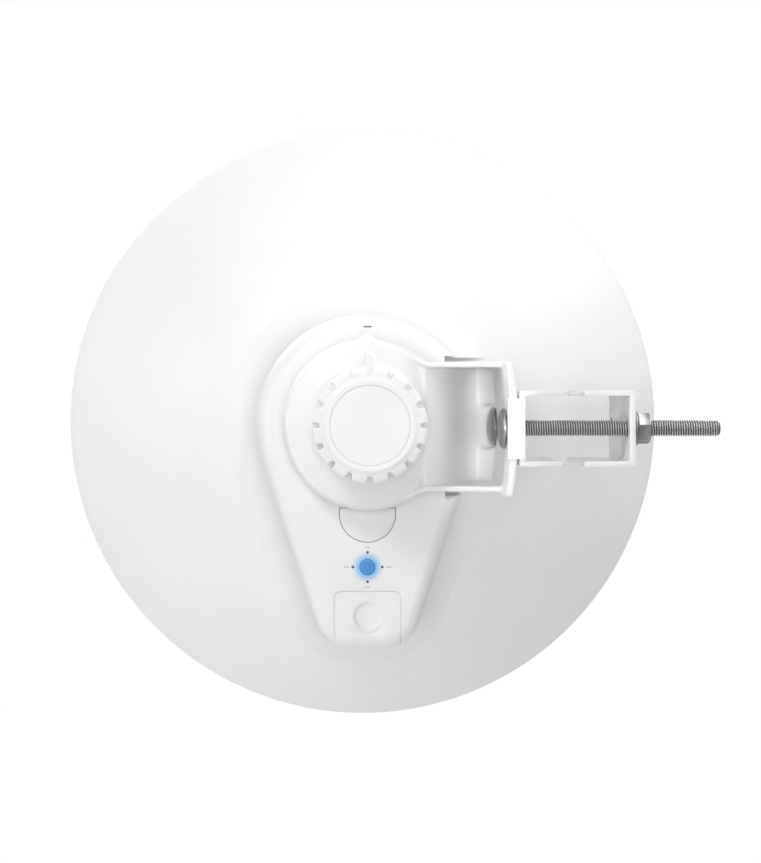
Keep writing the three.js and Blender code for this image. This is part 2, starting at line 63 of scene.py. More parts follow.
# ---- driving dimensions: some read from the frame's boxes, the rest given ----
SHELL_LOW, SHELL_HIGH = corners("rear_shell")
RIM = (SHELL_HIGH[0] - SHELL_LOW[0]) / 2
DISH_X = (SHELL_HIGH[0] + SHELL_LOW[0]) / 2
DISH_Z = (SHELL_HIGH[2] + SHELL_LOW[2]) / 2
RIM_Y = SHELL_HIGH[1] - 1
APEX_Y = corners("radome")[1][1]
HUB_LOW, HUB_HIGH = corners("pivot_hub")
HUB_R = (HUB_HIGH[0] - HUB_LOW[0]) / 2
BALL_Y = 22.0
POD_Y = corners("pod_housing")[0][1]
BOWL_START = 55.0
BOWL_CURVE = 0.00223
BOWL_WALL = 2.5
POD_UPPER = 71.0
POD_UPPER_Z = -0.5
POD_CORNER = 25.0
POD_CORNER_X = 9.3
POD_CORNER_Z = -118.0
POD_EDGE = 9.0
POD_FLARE = 22.0
FLARE_POWER = 4.7
POD_WALL = 2.6
CUP_OUTER = 58.5
CUP_INNER = 54.5
CUP_RIM = 53.5
CUP_FLAT = 38.0
TILT_HOLE = 13.5
ARM_TOP = 41.0
ARM_BOTTOM = -39.0
ARM_PLATE = 3.5
WALL_INNER = -43.6
WALL_OUTER = corners("arm")[1][0]
FLOOR_Y = 45.5
KNOB_LOW, KNOB_HIGH = corners("clamp_knob")
KNOB_R = (KNOB_HIGH[0] - KNOB_LOW[0]) / 2
KNOB_FACE = KNOB_LOW[1]
KNOB_SKIRT = KNOB_HIGH[1]
CAP_R = 24.1
NOTCHES = 16
NOTCH_FLOOR = 30.6
DOOR_LOW, DOOR_HIGH = corners("port_door")
TAB_LOW, TAB_HIGH = corners("release_tab")
LIGHT_LOW, LIGHT_HIGH = corners("light_pipe")
LIGHT_Z = (LIGHT_LOW[2] + LIGHT_HIGH[2]) / 2
LIGHT_R = (LIGHT_HIGH[0] - LIGHT_LOW[0]) / 2
MAST_R = 25.4
BOLT_Y = 32.5
ROD_R = 4.95
THREAD_PITCH = 1.5
THREAD_DEPTH = 0.92
HEAD_TOP = -48.6
HEAD_UNDER = -44.0
NECK_HALF = 5.0
HEX_TURN = -14.0
HEX_FLATS = 17.0
NUT_BORE_R = 5.15
SEAM = 0.35
REBATE = 0.8
RELIEF_X = (-78.0, -17.0)
RELIEF_Z = (-43.2, 45.2)
RELIEF_EDGE = 5.0


# ---- mesh helpers ----
def make(name, points, faces, crease=40):
    """One mesh object from points in millimetres, with smooth shading that breaks at sharp edges."""
    mesh = bpy.data.meshes.new(name)
    mesh.from_pydata([tuple(c * MM for c in p) for p in points], [], faces)
    obj = bpy.data.objects.new(name, mesh)
    bpy.context.scene.collection.objects.link(obj)
    tidy(obj, crease)
    return obj


def tidy(obj, crease=40):
    """Welds double points, turns normals outwards and marks sharp edges."""
    mesh = obj.data
    bm = bmesh.new()
    bm.from_mesh(mesh)
    bmesh.ops.remove_doubles(bm, verts=bm.verts, dist=0.01 * MM)
    bmesh.ops.dissolve_degenerate(bm, edges=bm.edges, dist=0.005 * MM)
    bmesh.ops.recalc_face_normals(bm, faces=bm.faces)
    bm.to_mesh(mesh)
    bm.free()
    mesh.shade_smooth()
    mesh.set_sharp_from_angle(angle=math.radians(crease))
    mesh.update()


def settle(obj, crease=40):
    """Applies the object's modifiers to its mesh."""
    graph = bpy.context.evaluated_depsgraph_get()
    graph.update()
    mesh = bpy.data.meshes.new_from_object(obj.evaluated_get(graph))
    obj.modifiers.clear()
    obj.data = mesh
    tidy(obj, crease)
    return obj


def combine(obj, tool, operation="DIFFERENCE", crease=40):
    """Exact Boolean of obj with tool, which is used up."""
    cut = obj.modifiers.new("cut", "BOOLEAN")
    cut.operation = operation
    cut.solver = "EXACT"
    cut.object = tool
    settle(obj, crease)
    bpy.data.objects.remove(tool)
    return obj


def bevel(obj, width, segments=3, angle=35, crease=50):
    """Rounds the sharp edges of obj."""
    edge = obj.modifiers.new("bevel", "BEVEL")
    edge.width = width * MM
    edge.segments = segments
    edge.limit_method = "ANGLE"
    edge.angle_limit = math.radians(angle)
    edge.harden_normals = False
    return settle(obj, crease)


def cast_skin(obj, voxel, smooth_steps, hollow_steps, crease=60):
    """Turns the arm's joined solids into one cast-looking skin with soft edges, softest in its hollow."""
    skin = obj.modifiers.new("skin", "REMESH")
    skin.mode = "VOXEL"
    skin.voxel_size = voxel * MM
    settle(obj, crease)
    soft = obj.modifiers.new("soft", "SMOOTH")
    soft.factor = 0.5
    soft.iterations = smooth_steps
    group = obj.vertex_groups.new(name="hollow")
    for vertex in obj.data.vertices:
        x, y, z = (c / MM for c in vertex.co)
        deep = smoothstep((y + 24) / 8) * smoothstep((WALL_INNER - 1 - x) / 4) * smoothstep((x + 96) / 8)
        inside = smoothstep((ARM_TOP - 2.5 - z) / 3) * smoothstep((z - ARM_BOTTOM - 2.5) / 3)
        if deep * inside > 0.01:
            group.add([vertex.index], deep * inside, "REPLACE")
    melt = obj.modifiers.new("melt", "SMOOTH")
    melt.factor = 0.5
    melt.iterations = hollow_steps
    melt.vertex_group = "hollow"
    return settle(obj, crease)


def fillet(points, radius, steps=5, closed=True):
    """Rounds the corners of a polyline. radius is one number or one for each corner."""
    count = len(points)
    radii = [radius] * count if isinstance(radius, (int, float)) else radius
    out = []
    for i, point in enumerate(points):
        if radii[i] <= 0 or (not closed and i in (0, count - 1)):
            out.append(tuple(point))
            continue
        here = Vector(point)
        before = Vector(points[i - 1]) - here
        after = Vector(points[(i + 1) % count]) - here
        angle = before.angle(after, math.pi)
        if angle > math.radians(176):
            out.append(tuple(point))
            continue
        reach = radii[i] / math.tan(angle / 2)
        reach = min(reach, before.length * 0.49, after.length * 0.49)
        a = here + before.normalized() * reach
        b = here + after.normalized() * reach
        for k in range(steps + 1):
            t = k / steps
            out.append(tuple(a * (1 - t) ** 2 + here * (2 * t * (1 - t)) + b * t ** 2))
    return out


def revolve(name, profile, x=DISH_X, z=DISH_Z, steps=160, crease=40, shape=None):
    """Solid of revolution about the Y direction. The profile is a loop of (r, y)."""
    points = []
    for k in range(steps):
        turn = 2 * math.pi * k / steps
        for r, y in profile:
            reach = shape(r, y, turn) if shape else r
            points.append((x + reach * math.cos(turn), y, z + reach * math.sin(turn)))
    return make(name, points, loop_faces(steps, profile), crease)


def revolve_x(name, profile, y, z, steps=64, crease=40):
    """Solid of revolution about the X direction. The profile is a loop of (r, x)."""
    points = []
    for k in range(steps):
        turn = 2 * math.pi * k / steps
        for r, x in profile:
            points.append((x, y + r * math.cos(turn), z + r * math.sin(turn)))
    return make(name, points, loop_faces(steps, profile), crease)


def loop_faces(steps, profile):
    """Faces of a turned solid. Where both ends of the profile lie on the axis, they need no joining face."""
    count = len(profile)
    on_axis = profile[0][0] < 1e-6 and profile[-1][0] < 1e-6
    spans = count - 1 if on_axis else count
    faces = []
    for k in range(steps):
        for i in range(spans):
            j = (i + 1) % count
            n = (k + 1) % steps
            faces.append((k * count + i, k * count + j, n * count + j, n * count + i))
    return faces


def prism(name, outline, axis, low, high, crease=40):
    """Outline extruded along axis: X outlines are (y, z), Y outlines (x, z), Z outlines (x, y)."""
    orders = {"X": lambda a, b, d: (d, a, b), "Y": lambda a, b, d: (a, d, b), "Z": lambda a, b, d: (a, b, d)}
    order = orders[axis]
    count = len(outline)
    points = [order(a, b, low) for a, b in outline] + [order(a, b, high) for a, b in outline]
    faces = [tuple(range(count)), tuple(range(2 * count - 1, count - 1, -1))]
    for i in range(count):
        j = (i + 1) % count
        faces.append((i, j, count + j, count + i))
    return make(name, points, faces, crease)


def rectangle(a0, a1, b0, b1):
    """Outline of a rectangle."""
    return [(a0, b0), (a1, b0), (a1, b1), (a0, b1)]


def block(name, x0, x1, y0, y1, z0, z1):
    """Box between two corners."""
    return prism(name, rectangle(x0, x1, y0, y1), "Z", z0, z1)


def arc(cx, cy, radius, start, end, steps):
    """Points on a circle from start to end, in degrees."""
    turns = np.radians(np.linspace(start, end, steps + 1))
    return [(cx + radius * math.cos(t), cy + radius * math.sin(t)) for t in turns]


def smoothstep(t):
    """Eases from 0 to 1 while t goes from 0 to 1."""
    t = min(max(t, 0.0), 1.0)
    return t * t * (3 - 2 * t)


# ---- materials ----
class Nodes:
    """Short way to build a material's node tree."""

    def __init__(self, name):
        self.material = bpy.data.materials.new(name)
        self.material.use_nodes = True
        self.tree = self.material.node_tree
        self.shader = self.tree.nodes["Principled BSDF"]
        self.place = self.add("ShaderNodeTexCoord").outputs["Object"]

    def add(self, kind, **values):
        node = self.tree.nodes.new(kind)
        for key, value in values.items():
            setattr(node, key, value)
        return node

    def link(self, a, b):
        self.tree.links.new(a, b)

    def noise(self, scale, detail=3.0, roughness=0.5):
        node = self.add("ShaderNodeTexNoise")
        node.inputs["Scale"].default_value = scale
        node.inputs["Detail"].default_value = detail
        node.inputs["Roughness"].default_value = roughness
        self.link(self.place, node.inputs["Vector"])
        return node.outputs["Fac"]

    def ramp(self, factor, low, high, stops):
        node = self.add("ShaderNodeValToRGB")
        elements = node.color_ramp.elements
        elements[0].position = low
        elements[1].position = high
        elements[0].color = (*stops[0], 1)
        elements[1].color = (*stops[1], 1)
        self.link(factor, node.inputs["Fac"])
        return node.outputs["Color"]

    def span(self, factor, low, high):
        node = self.add("ShaderNodeMapRange")
        node.inputs["To Min"].default_value = low
        node.inputs["To Max"].default_value = high
        self.link(factor, node.inputs["Value"])
        return node.outputs["Result"]

    def bump(self, height, distance, strength=1.0, under=None):
        node = self.add("ShaderNodeBump")
        node.inputs["Distance"].default_value = distance * MM
        node.inputs["Strength"].default_value = strength
        self.link(height, node.inputs["Height"])
        if under:
            self.link(under, node.inputs["Normal"])
        return node.outputs["Normal"]


def moulded_plastic(name, color, roughness=0.42, grain=0.035, painted_glow_centre=None):
    """Satin moulded plastic: fine spark-eroded grain, faint flow marks and uneven gloss; given a centre, it
    also gets a painted blue glow round the status light.
    """
    n = Nodes(name)
    dark = tuple(c * 0.975 for c in color)
    tone = n.ramp(n.noise(9, 2), 0.35, 0.65, (dark, color))
    # painted glow: the status light's blue light painted into the colour round it
    if painted_glow_centre:
        tone = painted_glow_tint(n, tone, painted_glow_centre)
    n.link(tone, n.shader.inputs["Base Color"])
    n.link(n.span(n.noise(60, 3), roughness - 0.05, roughness + 0.06), n.shader.inputs["Roughness"])
    grainy = n.bump(n.noise(2600, 2), grain, 0.5)
    n.link(n.bump(n.noise(45, 2), 0.03, 0.3, grainy), n.shader.inputs["Normal"])
    n.shader.inputs["Specular IOR Level"].default_value = 0.42
    n.shader.inputs["Subsurface Weight"].default_value = 0.04
    n.shader.inputs["Subsurface Scale"].default_value = 0.002
    return n.material


def painted_glow_tint(n, tone, spot):
    """Painted glow: the status light's blue spill painted into the plastic's colour round it."""
    offset = n.add("ShaderNodeVectorMath", operation="DISTANCE")
    offset.inputs[1].default_value = tuple(c * MM for c in spot)
    n.link(n.place, offset.inputs[0])
    near = n.add("ShaderNodeMapRange", interpolation_type="SMOOTHERSTEP")
    near.inputs["From Min"].default_value = LIGHT_R * 0.9 * MM
    near.inputs["From Max"].default_value = LIGHT_R * 2.3 * MM
    near.inputs["To Min"].default_value = 1.0
    near.inputs["To Max"].default_value = 0.0
    n.link(offset.outputs["Value"], near.inputs["Value"])
    mix = n.add("ShaderNodeMix", data_type="RGBA")
    n.link(near.outputs["Result"], mix.inputs["Factor"])
    n.link(tone, mix.inputs["A"])
    # colour of the painted blue glow
    mix.inputs["B"].default_value = (0.24, 0.54, 0.9, 1)
    return mix.outputs["Result"]


def powder_coat(name, color, roughness=0.4):
    """Baked powder paint: orange-peel ripple with a fine speckle."""
    n = Nodes(name)
    dark = tuple(c * 0.965 for c in color)
    n.link(n.ramp(n.noise(14, 3), 0.3, 0.7, (dark, color)), n.shader.inputs["Base Color"])
    n.link(n.span(n.noise(220, 2), roughness - 0.06, roughness + 0.08), n.shader.inputs["Roughness"])
    peel = n.bump(n.noise(620, 2), 0.06, 0.6)
    n.link(n.bump(n.noise(2400, 1), 0.02, 0.4, peel), n.shader.inputs["Normal"])
    n.shader.inputs["Coat Weight"].default_value = 0.12
    n.shader.inputs["Coat Roughness"].default_value = 0.3
    return n.material


def plated_steel(name, color, roughness=0.36, streak=(400, 40, 40)):
    """Dull zinc-plated steel: blotchy plating, fine turning marks and darker pits."""
    n = Nodes(name)
    stretch = n.add("ShaderNodeMapping")
    stretch.inputs["Scale"].default_value = streak
    n.link(n.place, stretch.inputs["Vector"])
    lines = n.add("ShaderNodeTexNoise")
    lines.inputs["Scale"].default_value = 12
    lines.inputs["Detail"].default_value = 4
    n.link(stretch.outputs["Vector"], lines.inputs["Vector"])
    dark = tuple(c * 0.72 for c in color)
    n.link(n.ramp(n.noise(260, 5, 0.65), 0.32, 0.68, (dark, color)), n.shader.inputs["Base Color"])
    n.link(n.span(n.noise(420, 4), roughness - 0.1, roughness + 0.14), n.shader.inputs["Roughness"])
    fine = n.bump(lines.outputs["Fac"], 0.015, 0.3)
    n.link(n.bump(n.noise(500, 3), 0.02, 0.3, fine), n.shader.inputs["Normal"])
    n.shader.inputs["Metallic"].default_value = 0.92
    return n.material


def thread_steel(name, color, axis_y, radius):
    """Zinc-plated thread whose roots are painted darker: painted shade in the thread's grooves."""
    n = Nodes(name)
    flat = n.add("ShaderNodeVectorMath", operation="MULTIPLY")
    flat.inputs[1].default_value = (0, 1, 1)
    n.link(n.place, flat.inputs[0])
    mirror = n.add("ShaderNodeVectorMath", operation="ABSOLUTE")
    n.link(flat.outputs[0], mirror.inputs[0])
    reach = n.add("ShaderNodeVectorMath", operation="DISTANCE")
    reach.inputs[1].default_value = (0, axis_y * MM, 0)
    n.link(mirror.outputs[0], reach.inputs[0])
    depth = n.add("ShaderNodeMapRange")
    depth.inputs["From Min"].default_value = (radius - 0.95) * MM
    depth.inputs["From Max"].default_value = radius * MM
    n.link(reach.outputs["Value"], depth.inputs["Value"])
    # painted shade: colour darkened towards the thread's roots
    tone = n.ramp(depth.outputs["Result"], 0.1, 0.85, (tuple(c * 0.22 for c in color), color))
    n.link(tone, n.shader.inputs["Base Color"])
    n.link(n.span(n.noise(300, 3), 0.32, 0.5), n.shader.inputs["Roughness"])
    n.link(n.bump(n.noise(500, 2), 0.02, 0.3), n.shader.inputs["Normal"])
    n.shader.inputs["Metallic"].default_value = 0.75
    return n.material


def plain_metal(name, color, roughness):
    """Bare metal with uneven tone and gloss."""
    n = Nodes(name)
    dark = tuple(c * 0.85 for c in color)
    n.link(n.ramp(n.noise(120, 4), 0.35, 0.65, (dark, color)), n.shader.inputs["Base Color"])
    n.link(n.span(n.noise(300, 3), roughness - 0.08, roughness + 0.08), n.shader.inputs["Roughness"])
    n.link(n.bump(n.noise(700, 2), 0.02, 0.4), n.shader.inputs["Normal"])
    n.shader.inputs["Metallic"].default_value = 1.0
    return n.material


def soft_matter(name, color, roughness, ripple=0.05):
    """Rubber, ink, board and other dull parts."""
    n = Nodes(name)
    light = tuple(min(c * 1.2 + 0.004, c + 0.02) for c in color)
    n.link(n.ramp(n.noise(180, 4), 0.35, 0.7, (color, light)), n.shader.inputs["Base Color"])
    n.link(n.span(n.noise(260, 2), roughness - 0.08, roughness + 0.08), n.shader.inputs["Roughness"])
    n.link(n.bump(n.noise(1500, 2), ripple, 0.5), n.shader.inputs["Normal"])
    return n.material


def light_material(name):
    """Diffusing lens with a brighter middle."""
    n = Nodes(name)
    offset = n.add("ShaderNodeVectorMath", operation="DISTANCE")
    offset.inputs[1].default_value = (DISH_X * MM, POD_Y * MM, LIGHT_Z * MM)
    n.link(n.place, offset.inputs[0])
    near = n.add("ShaderNodeMapRange")
    near.inputs["From Min"].default_value = 0.0
    near.inputs["From Max"].default_value = LIGHT_R * 1.1 * MM
    n.link(offset.outputs["Value"], near.inputs["Value"])
    tone = n.ramp(near.outputs["Result"], 0.5, 1.0, ((0.05, 0.235, 0.6), (0.1, 0.33, 0.72)))
    n.link(tone, n.shader.inputs["Base Color"])
    n.link(tone, n.shader.inputs["Emission Color"])
    n.shader.inputs["Emission Strength"].default_value = 0.1
    n.shader.inputs["Roughness"].default_value = 0.5
    n.link(n.bump(n.noise(1800, 1), 0.02, 0.3), n.shader.inputs["Normal"])
    return n.material


WHITE = (0.86, 0.862, 0.864)
LIGHT_SPOT = (DISH_X, POD_Y, LIGHT_Z)
MATERIALS = {
    # the shell's white has the status light's blue glow painted into it
    "shell_white": moulded_plastic("shell_white", WHITE, painted_glow_centre=LIGHT_SPOT),
    "radome_white": moulded_plastic("radome_white", WHITE, 0.5),
    "knob_white": moulded_plastic("knob_white", WHITE, 0.38),
    "arm_white": powder_coat("arm_white", WHITE, 0.42),
    "jaw_white": powder_coat("jaw_white", (0.84, 0.84, 0.845), 0.36),
    "fastener_steel": plated_steel("fastener_steel", (0.42, 0.415, 0.41)),
    # thread_steel carries painted shade in its thread roots
    "thread_steel": thread_steel("thread_steel", (0.6, 0.595, 0.59), BOLT_Y, ROD_R),
    "reflector_metal": plain_metal("reflector_metal", (0.75, 0.76, 0.78), 0.32),
    "shield_metal": plain_metal("shield_metal", (0.7, 0.71, 0.72), 0.28),
    "insert_brass": plain_metal("insert_brass", (0.62, 0.45, 0.18), 0.3),
    "inner_plastic": moulded_plastic("inner_plastic", (0.8, 0.8, 0.78), 0.45),
    "black_plastic": soft_matter("black_plastic", (0.03, 0.03, 0.032), 0.5),
    "black_rubber": soft_matter("black_rubber", (0.022, 0.022, 0.023), 0.75, 0.08),
    "grey_liner": soft_matter("grey_liner", (0.14, 0.15, 0.16), 0.55),
    "grey_ink": soft_matter("grey_ink", (0.19, 0.2, 0.215), 0.6),
    "blue_ink": soft_matter("blue_ink", (0.028, 0.09, 0.15), 0.45),
    "pale_ink": soft_matter("pale_ink", (0.5, 0.53, 0.56), 0.6),
    "board_green": soft_matter("board_green", (0.015, 0.1, 0.045), 0.4),
    "antenna_ceramic": soft_matter("antenna_ceramic", (0.5, 0.4, 0.27), 0.5),
    "status_light": light_material("status_light"),
}


def finish_piece(obj, body, slot, *nodes, material=None):
    """Gives a new piece its material, named by slot unless material is given, parents it to its body, and
    hides the CAD nodes it stands for.
    """
    obj.data.materials.clear()
    obj.data.materials.append(MATERIALS[material or slot])
    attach(obj, body)
    if nodes:
        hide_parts(*nodes)
    return obj


def dress_cad_nodes():
    """Every CAD node that is shown as it is gets its procedural material."""
    for row in frame["record"]["subparts"]:
        node = frame["nodes"][row["node"]]
        node.data.materials.clear()
        node.data.materials.append(MATERIALS[row["material_slot"]])


# ---- dish ----
def bowl_y(r):
    """Y of the dish's parabolic back at radius r."""
    return BOWL_START + BOWL_CURVE * r * r


def bowl_curve(offset, r0, r1, steps):
    """Profile of the bowl from r0 to r1, moved towards the dish's front by offset."""
    return [(r, bowl_y(r) + offset * math.hypot(1, 2 * BOWL_CURVE * r)) for r in np.linspace(r0, r1, steps)]


def front_relief(r):
    """Depth of the front cover's moulded steps: a raised centre, a rim band and the groove between them."""
    step = 1.3 * smoothstep((r - RIM + 26) / 5)
    groove = 0.9 * max(0, 1 - abs(r - RIM + 18) / 1.6) ** 0.5
    centre = 0.5 * smoothstep((r - 34) / 2.5)
    return step + groove + centre


def build_dish():
    """Rear shell of the dish and its front cover."""
    hole = 44.0
    back = bowl_curve(0, hole, RIM - 2.2, 90)
    front = bowl_curve(BOWL_WALL, hole, RIM - 6, 40)[::-1]
    lip = fillet([(RIM - 2.2, bowl_y(RIM - 2.2)), (RIM, RIM_Y - 1.6), (RIM, RIM_Y + 1),
                  (RIM - 3.2, RIM_Y + 1), (RIM - 3.2, RIM_Y - 1.5)], [0, 1.4, 0.5, 0.3, 0], 5, False)
    shell = revolve("dish_shell", back + lip[1:] + front, steps=288)
    finish_piece(shell, "dish", "shell_white", "rear_shell")
    rise = APEX_Y - RIM_Y - 8
    outer = [((RIM - 2) * t, APEX_Y - rise * t ** 3 - front_relief((RIM - 2) * t))
             for t in np.linspace(0, 1, 400)]
    inner = [((RIM - 6) * t, APEX_Y - 2.4 - rise * t ** 3) for t in np.linspace(1, 0, 40)]
    edge = [outer[-1], (RIM, RIM_Y + 5), (RIM, RIM_Y + 1.5), (RIM - 6, RIM_Y + 1.5)]
    edge = fillet(edge, [0, 2, 0.5, 0], 6, False)
    cover = revolve("front_cover", outer + edge[1:] + inner, steps=288)
    finish_piece(cover, "dish", "radome_white", "radome")


# ---- pod ----
def pod_lean():
    """Angle at which the upper circle of the pod meets its straight sides, in degrees."""
    dx, dz = POD_CORNER_X, POD_CORNER_Z - POD_UPPER_Z
    return math.degrees(math.acos((POD_UPPER - POD_CORNER) / math.hypot(dx, dz)) + math.atan2(dz, dx))


def between(a, b, steps):
    """The points that divide a straight line into equal steps, without its ends."""
    return [tuple(np.array(a) * (1 - k / steps) + np.array(b) * k / steps) for k in range(1, steps)]


def pod_outline(offset):
    """Teardrop outline: a large upper circle, two straight sides and two lower corners."""
    lean = pod_lean()
    upper = arc(0, POD_UPPER_Z, POD_UPPER + offset, lean, 180 - lean, 110)
    left = arc(-POD_CORNER_X, POD_CORNER_Z, POD_CORNER + offset, 180 - lean, 270, 36)
    right = arc(POD_CORNER_X, POD_CORNER_Z, POD_CORNER + offset, 270, 360 + lean, 36)
    down = between(upper[-1], left[0], 24)
    up = between(right[-1], upper[0], 24)
    base = between(left[-1], right[0], 6)
    return upper + down + left + base + right + up


def edge_radius(z):
    """The rounding of the pod's back edge grows from the ports up to the dome round the hub."""
    return POD_EDGE + 6 * smoothstep((z + 75) / 80)


def pod_rings(inset):
    """Outlines from the pod's face, round its edge and down its flared foot into the bowl."""
    rings = []
    base_line = pod_outline(0)
    edges = [edge_radius(z) for _, z in base_line]
    for turn in np.linspace(0, math.pi / 2, 11):
        lines = {e: pod_outline(-e + (e - inset) * math.sin(turn)) for e in set(edges)}
        ring = []
        for k, e in enumerate(edges):
            x, z = lines[e][k]
            ring.append((x, POD_Y + inset + (e - inset) * (1 - math.cos(turn)), z))
        rings.append(ring)
    foot = [bowl_y(math.hypot(x, z)) for x, z in pod_outline(POD_FLARE)]
    for part in np.linspace(0, 1, 25)[1:]:
        line = pod_outline(POD_FLARE * part ** FLARE_POWER - inset)
        ring = []
        for (x, z), base, e in zip(line, foot, edges):
            shoulder = POD_Y + e
            ring.append((x, shoulder + (base - shoulder) * part, z))
        rings.append(ring)
    rings.append([(x, RIM_Y, z) for x, _, z in rings[-1]])
    return rings


def loft(name, rings, crease=40):
    """Solid through a stack of rings with equal numbers of points."""
    count = len(rings[0])
    points = [(x + DISH_X, y, z + DISH_Z) for ring in rings for x, y, z in ring]
    faces = []
    for j in range(len(rings) - 1):
        for k in range(count):
            n = (k + 1) % count
            faces.append((j * count + k, j * count + n, (j + 1) * count + n, (j + 1) * count + k))
    faces.append(tuple(range(count)))
    last = (len(rings) - 1) * count
    faces.append(tuple(range(last + count - 1, last - 1, -1)))
    return make(name, points, faces, crease)


def beyond_dish():
    """Everything in front of the bowl's back, to cut the pod off there."""
    back = [(0, BOWL_START)] + bowl_curve(-0.15, 3, RIM + 20, 60)
    return revolve("beyond", back + [(RIM + 20, 260), (0, 260)], steps=160)


def hub_envelope(name, radius, depth=80.0):
    """Half ball with a straight tail, for the hub and for the room round it."""
    ball = [(radius * math.sin(t), BALL_Y - radius * math.cos(t)) for t in np.linspace(0, math.pi / 2, 40)]
    return revolve(name, ball + [(radius, depth), (0, depth)], steps=192)


def relief(grow):
    """Room for the arm's strap, with a rounded shoulder where it meets the pod's face."""
    low, high = RELIEF_Z[0] - grow, RELIEF_Z[1] + grow
    edge = RELIEF_EDGE
    upper = [(POD_Y + edge - edge * math.cos(t), high + edge - edge * math.sin(t))
             for t in np.linspace(0, math.pi / 2, 10)]
    lower = [(y, low - (z - high)) for y, z in upper]
    outline = [(-60, low - edge)] + lower + [(90 + grow, low), (90 + grow, high)]
    outline += upper[::-1] + [(-60, high + edge)]
    return prism("relief", outline, "X", RELIEF_X[0] - grow, RELIEF_X[1])


def tab_outline(grow):
    """U-shaped outline of the release tab."""
    r = (TAB_HIGH[0] - TAB_LOW[0]) / 2 + grow
    centre_z = TAB_LOW[2] + (TAB_HIGH[0] - TAB_LOW[0]) / 2
    top = TAB_HIGH[2] + grow
    return arc(DISH_X, centre_z, r, 180, 360, 48) + [(DISH_X + r, top), (DISH_X - r, top)]


def door_outline(grow):
    """Outline of the port door, run on past the pod's lower end."""
    half = (DOOR_HIGH[0] - DOOR_LOW[0]) / 2 + grow
    top = DOOR_HIGH[2] + grow
    low = -170
    box = [(DISH_X - half, low), (DISH_X + half, low), (DISH_X + half, top), (DISH_X - half, top)]
    return fillet(box, [0, 0, 5 + grow, 5 + grow], 10)


def build_pod():
    """Pod housing with its openings, the pieces in them, and the ball of the joint."""
    skin = loft("pod_skin", pod_rings(0))
    combine(skin, relief(0))
    hollow = loft("hollow", pod_rings(POD_WALL))
    combine(hollow, relief(POD_WALL))
    combine(skin, hollow)
    combine(skin, hub_envelope("ball", HUB_R + 0.3))
    combine(skin, beyond_dish())
    combine(skin, prism("tab_cut", tab_outline(SEAM), "Y", -5, POD_Y + 5))
    combine(skin, combine(prism("door_cut", door_outline(SEAM), "Y", -5, DOOR_HIGH[1] + SEAM),
                          loft("door_ledge", pod_rings(REBATE))))
    combine(skin, prism("door_bed", door_outline(-2), "Y", -5, DOOR_HIGH[1] + SEAM))
    light_r = LIGHT_R + 0.15
    light_cut = revolve("light_cut", [(0, -5), (light_r, -5), (light_r, 20), (0, 20)], z=LIGHT_Z, steps=64)
    combine(skin, light_cut, crease=32)
    finish_piece(skin, "dish", "shell_white", "pod_housing")
    build_door()
    build_tab()
    build_marks()
    hub = hub_envelope("ball_hub", HUB_R, 70)
    combine(hub, beyond_dish())
    core = hub_envelope("core", HUB_R - 4, 90)
    combine(hub, core)
    combine(hub, revolve("stud_hole", [(0, -40), (4.3, -40), (4.3, 0), (0, 0)], steps=48))
    finish_piece(hub, "dish", "shell_white", "pivot_hub")


def build_door():
    """Port door: a panel that wraps over the pod's lower edge, with a round finger scoop."""
    door = loft("cover_panel", pod_rings(0))
    combine(door, loft("door_hollow", pod_rings(POD_WALL)))
    keep = prism("door_rim", door_outline(0), "Y", -5, DOOR_HIGH[1])
    combine(keep, loft("rim_back", pod_rings(REBATE - 0.05)))
    combine(keep, prism("door_core", door_outline(-2.35), "Y", -5, DOOR_HIGH[1]), "UNION")
    combine(door, keep, "INTERSECT")
    scoop_z = DOOR_HIGH[2] - 15.8
    radius = 9.4
    floor = POD_Y + 1.7
    bowl = [(0, floor), (radius - 2.4, floor - 0.2), (radius - 0.8, POD_Y + 0.7), (radius, POD_Y - 0.05),
            (radius, POD_Y - 3), (0, POD_Y - 3)]
    combine(door, revolve("scoop", fillet(bowl, [0, 2, 1, 0.2, 0, 0], 6, False), z=scoop_z, steps=96))
    combine(door, grip_cutter(scoop_z, radius + 0.55), crease=32)
    finish_piece(door, "door", "shell_white", "port_door")


def grip_cutter(centre_z, radius):
    """Crescent-shaped cut below the scoop: steep at the scoop, rising to nothing further down."""
    points, faces = [], []
    steps = 36
    for i in range(steps + 1):
        turn = math.radians(212 + 116 * i / steps)
        fade = max(math.sin(math.pi * i / steps), 0.02) ** 0.6
        reach = radius + 2.5 * fade
        section = [(radius, POD_Y - 1), (radius, POD_Y + 1.0 * fade),
                   (reach, POD_Y - 0.05), (reach, POD_Y - 1)]
        points += [(DISH_X + r * math.cos(turn), y, centre_z + r * math.sin(turn)) for r, y in section]
    for j in range(steps):
        for k in range(4):
            n = (k + 1) % 4
            faces.append((j * 4 + k, j * 4 + n, (j + 1) * 4 + n, (j + 1) * 4 + k))
    faces.append((0, 1, 2, 3))
    faces.append(tuple(range(len(points) - 1, len(points) - 5, -1)))
    return make("grip", points, faces)


def build_tab():
    """U-shaped release tab, flush with the pod's face, with a small thumb ledge."""
    tab = prism("press_tab", tab_outline(0), "Y", POD_Y, POD_Y + POD_WALL)
    bevel(tab, 0.3, 3, 60)
    finish_piece(tab, "tab", "shell_white", "release_tab")
    r = (TAB_HIGH[0] - TAB_LOW[0]) / 2
    centre_z = TAB_LOW[2] + r
    outer = arc(DISH_X, centre_z, r - 0.9, 282, 322, 20)
    inner = arc(DISH_X + 0.6, centre_z + 0.9, r - 1.9, 282, 322, 20)
    ledge = prism("tab_ledge", outer + inner[::-1], "Y", POD_Y - 0.35, POD_Y + 0.4)
    bevel(ledge, 0.2, 2)
    finish_piece(ledge, "tab", "shell_white")


